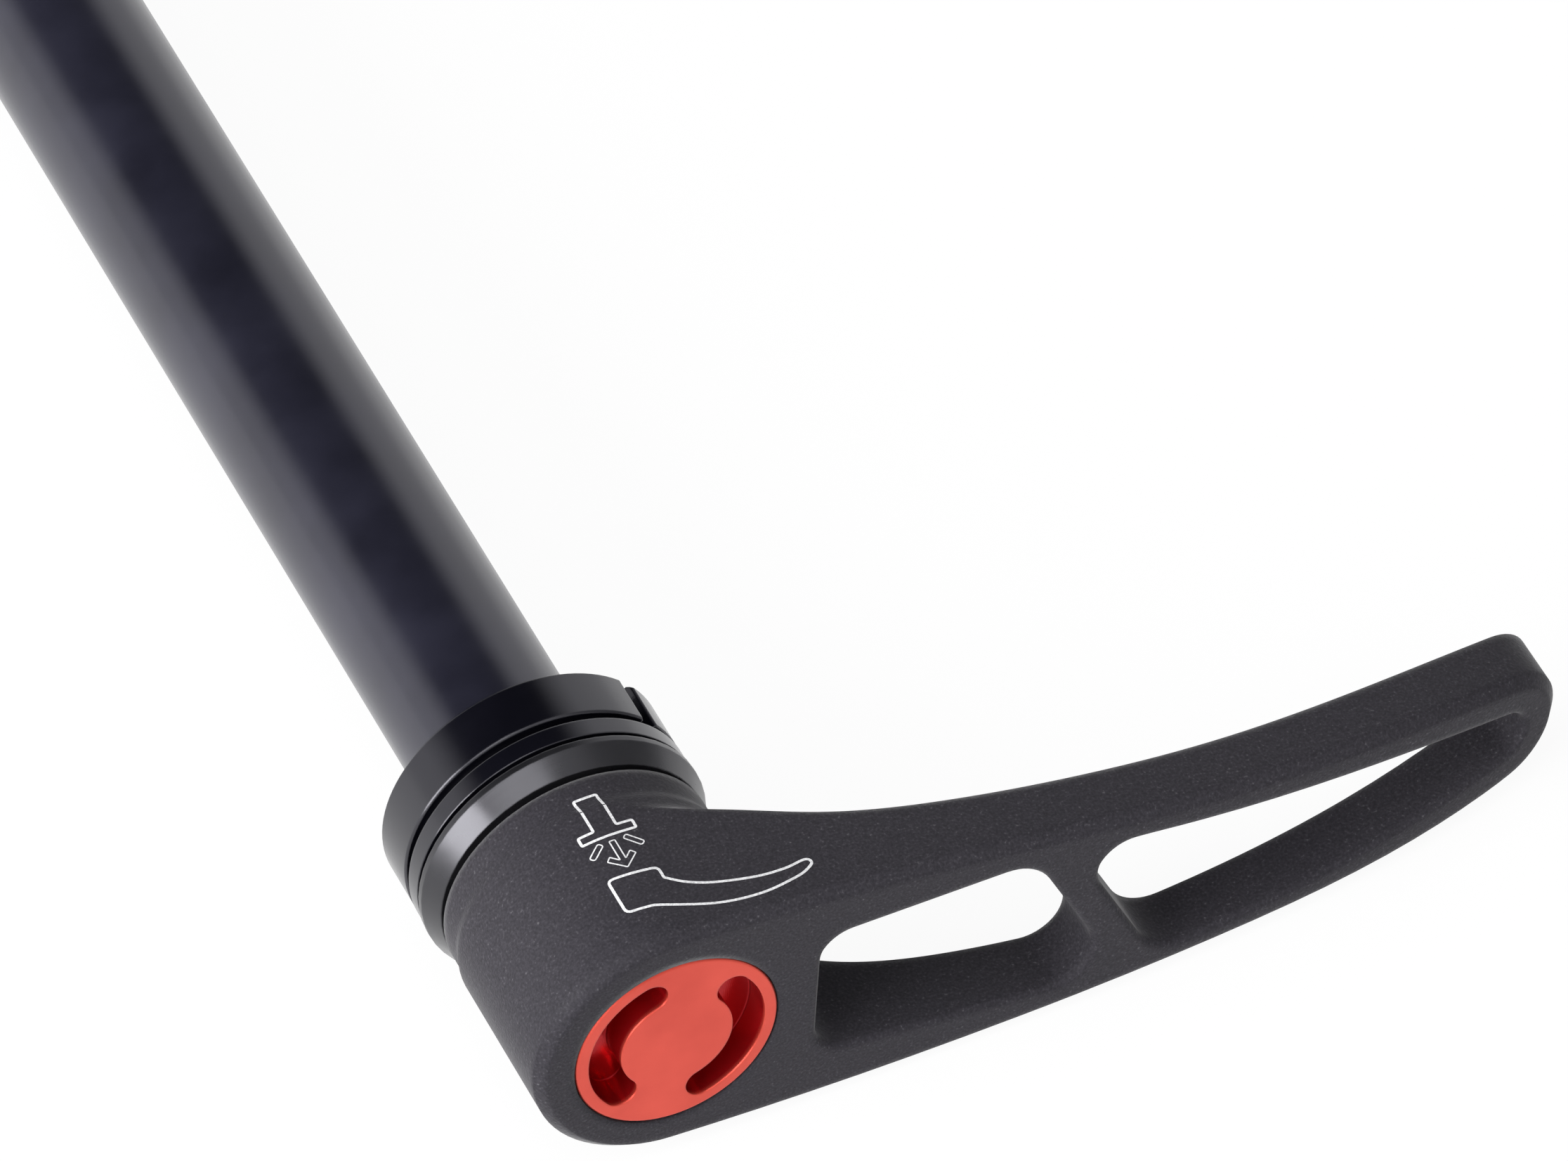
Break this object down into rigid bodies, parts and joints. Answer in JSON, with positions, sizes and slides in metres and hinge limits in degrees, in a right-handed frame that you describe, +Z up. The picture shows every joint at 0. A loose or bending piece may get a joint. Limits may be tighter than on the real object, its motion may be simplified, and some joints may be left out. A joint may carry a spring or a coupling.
{
  "type": "thru axle",
  "caption": "Bicycle thru axle: hollow black shaft with a threaded tip, split contact collar and flanged head, and a plug-in lever with a windowed, curved arm and a red slotted cap.",
  "frame": {"origin": "on the shaft's axis, where the shaft leaves the collar that bears on the frame", "axes": "+Y along the shaft towards its threaded tip, +Z up as the axle lies, +X towards the lever's tip"},
  "size_m": [0.0766, 0.1968, 0.0207],
  "materials": {
    "shaft_black": "black anodised, semi-gloss",
    "ring_black": "black anodised, satin",
    "lever_black": "black anodised, bead blasted",
    "cap_red": "red anodised, satin",
    "plug_steel": "machined",
    "ring_rubber": "matt"
  },
  "bodies": {
    "axle": {"axle_shaft": "shaft_black"},
    "collar": {"contact_collar": "ring_black"},
    "washer": {"slip_washer": "ring_black"},
    "lever": {"lever": "lever_black", "end_cap": "cap_red", "drive_plug": "plug_steel", "plug_o_ring": "ring_rubber"}
  },
  "joints": [
    {"name": "lever_pull", "type": "slide", "parent": "axle", "child": "lever", "axis": [0, -1, 0], "range_m": [0, 0.016]},
    {"name": "collar_spin", "type": "hinge", "parent": "axle", "child": "collar", "pos_m": [0, -0.0024, 0], "axis": [0, 1, 0], "continuous": true},
    {"name": "washer_spin", "type": "hinge", "parent": "axle", "child": "washer", "pos_m": [0, -0.0055, 0], "axis": [0, 1, 0], "continuous": true}
  ]
}
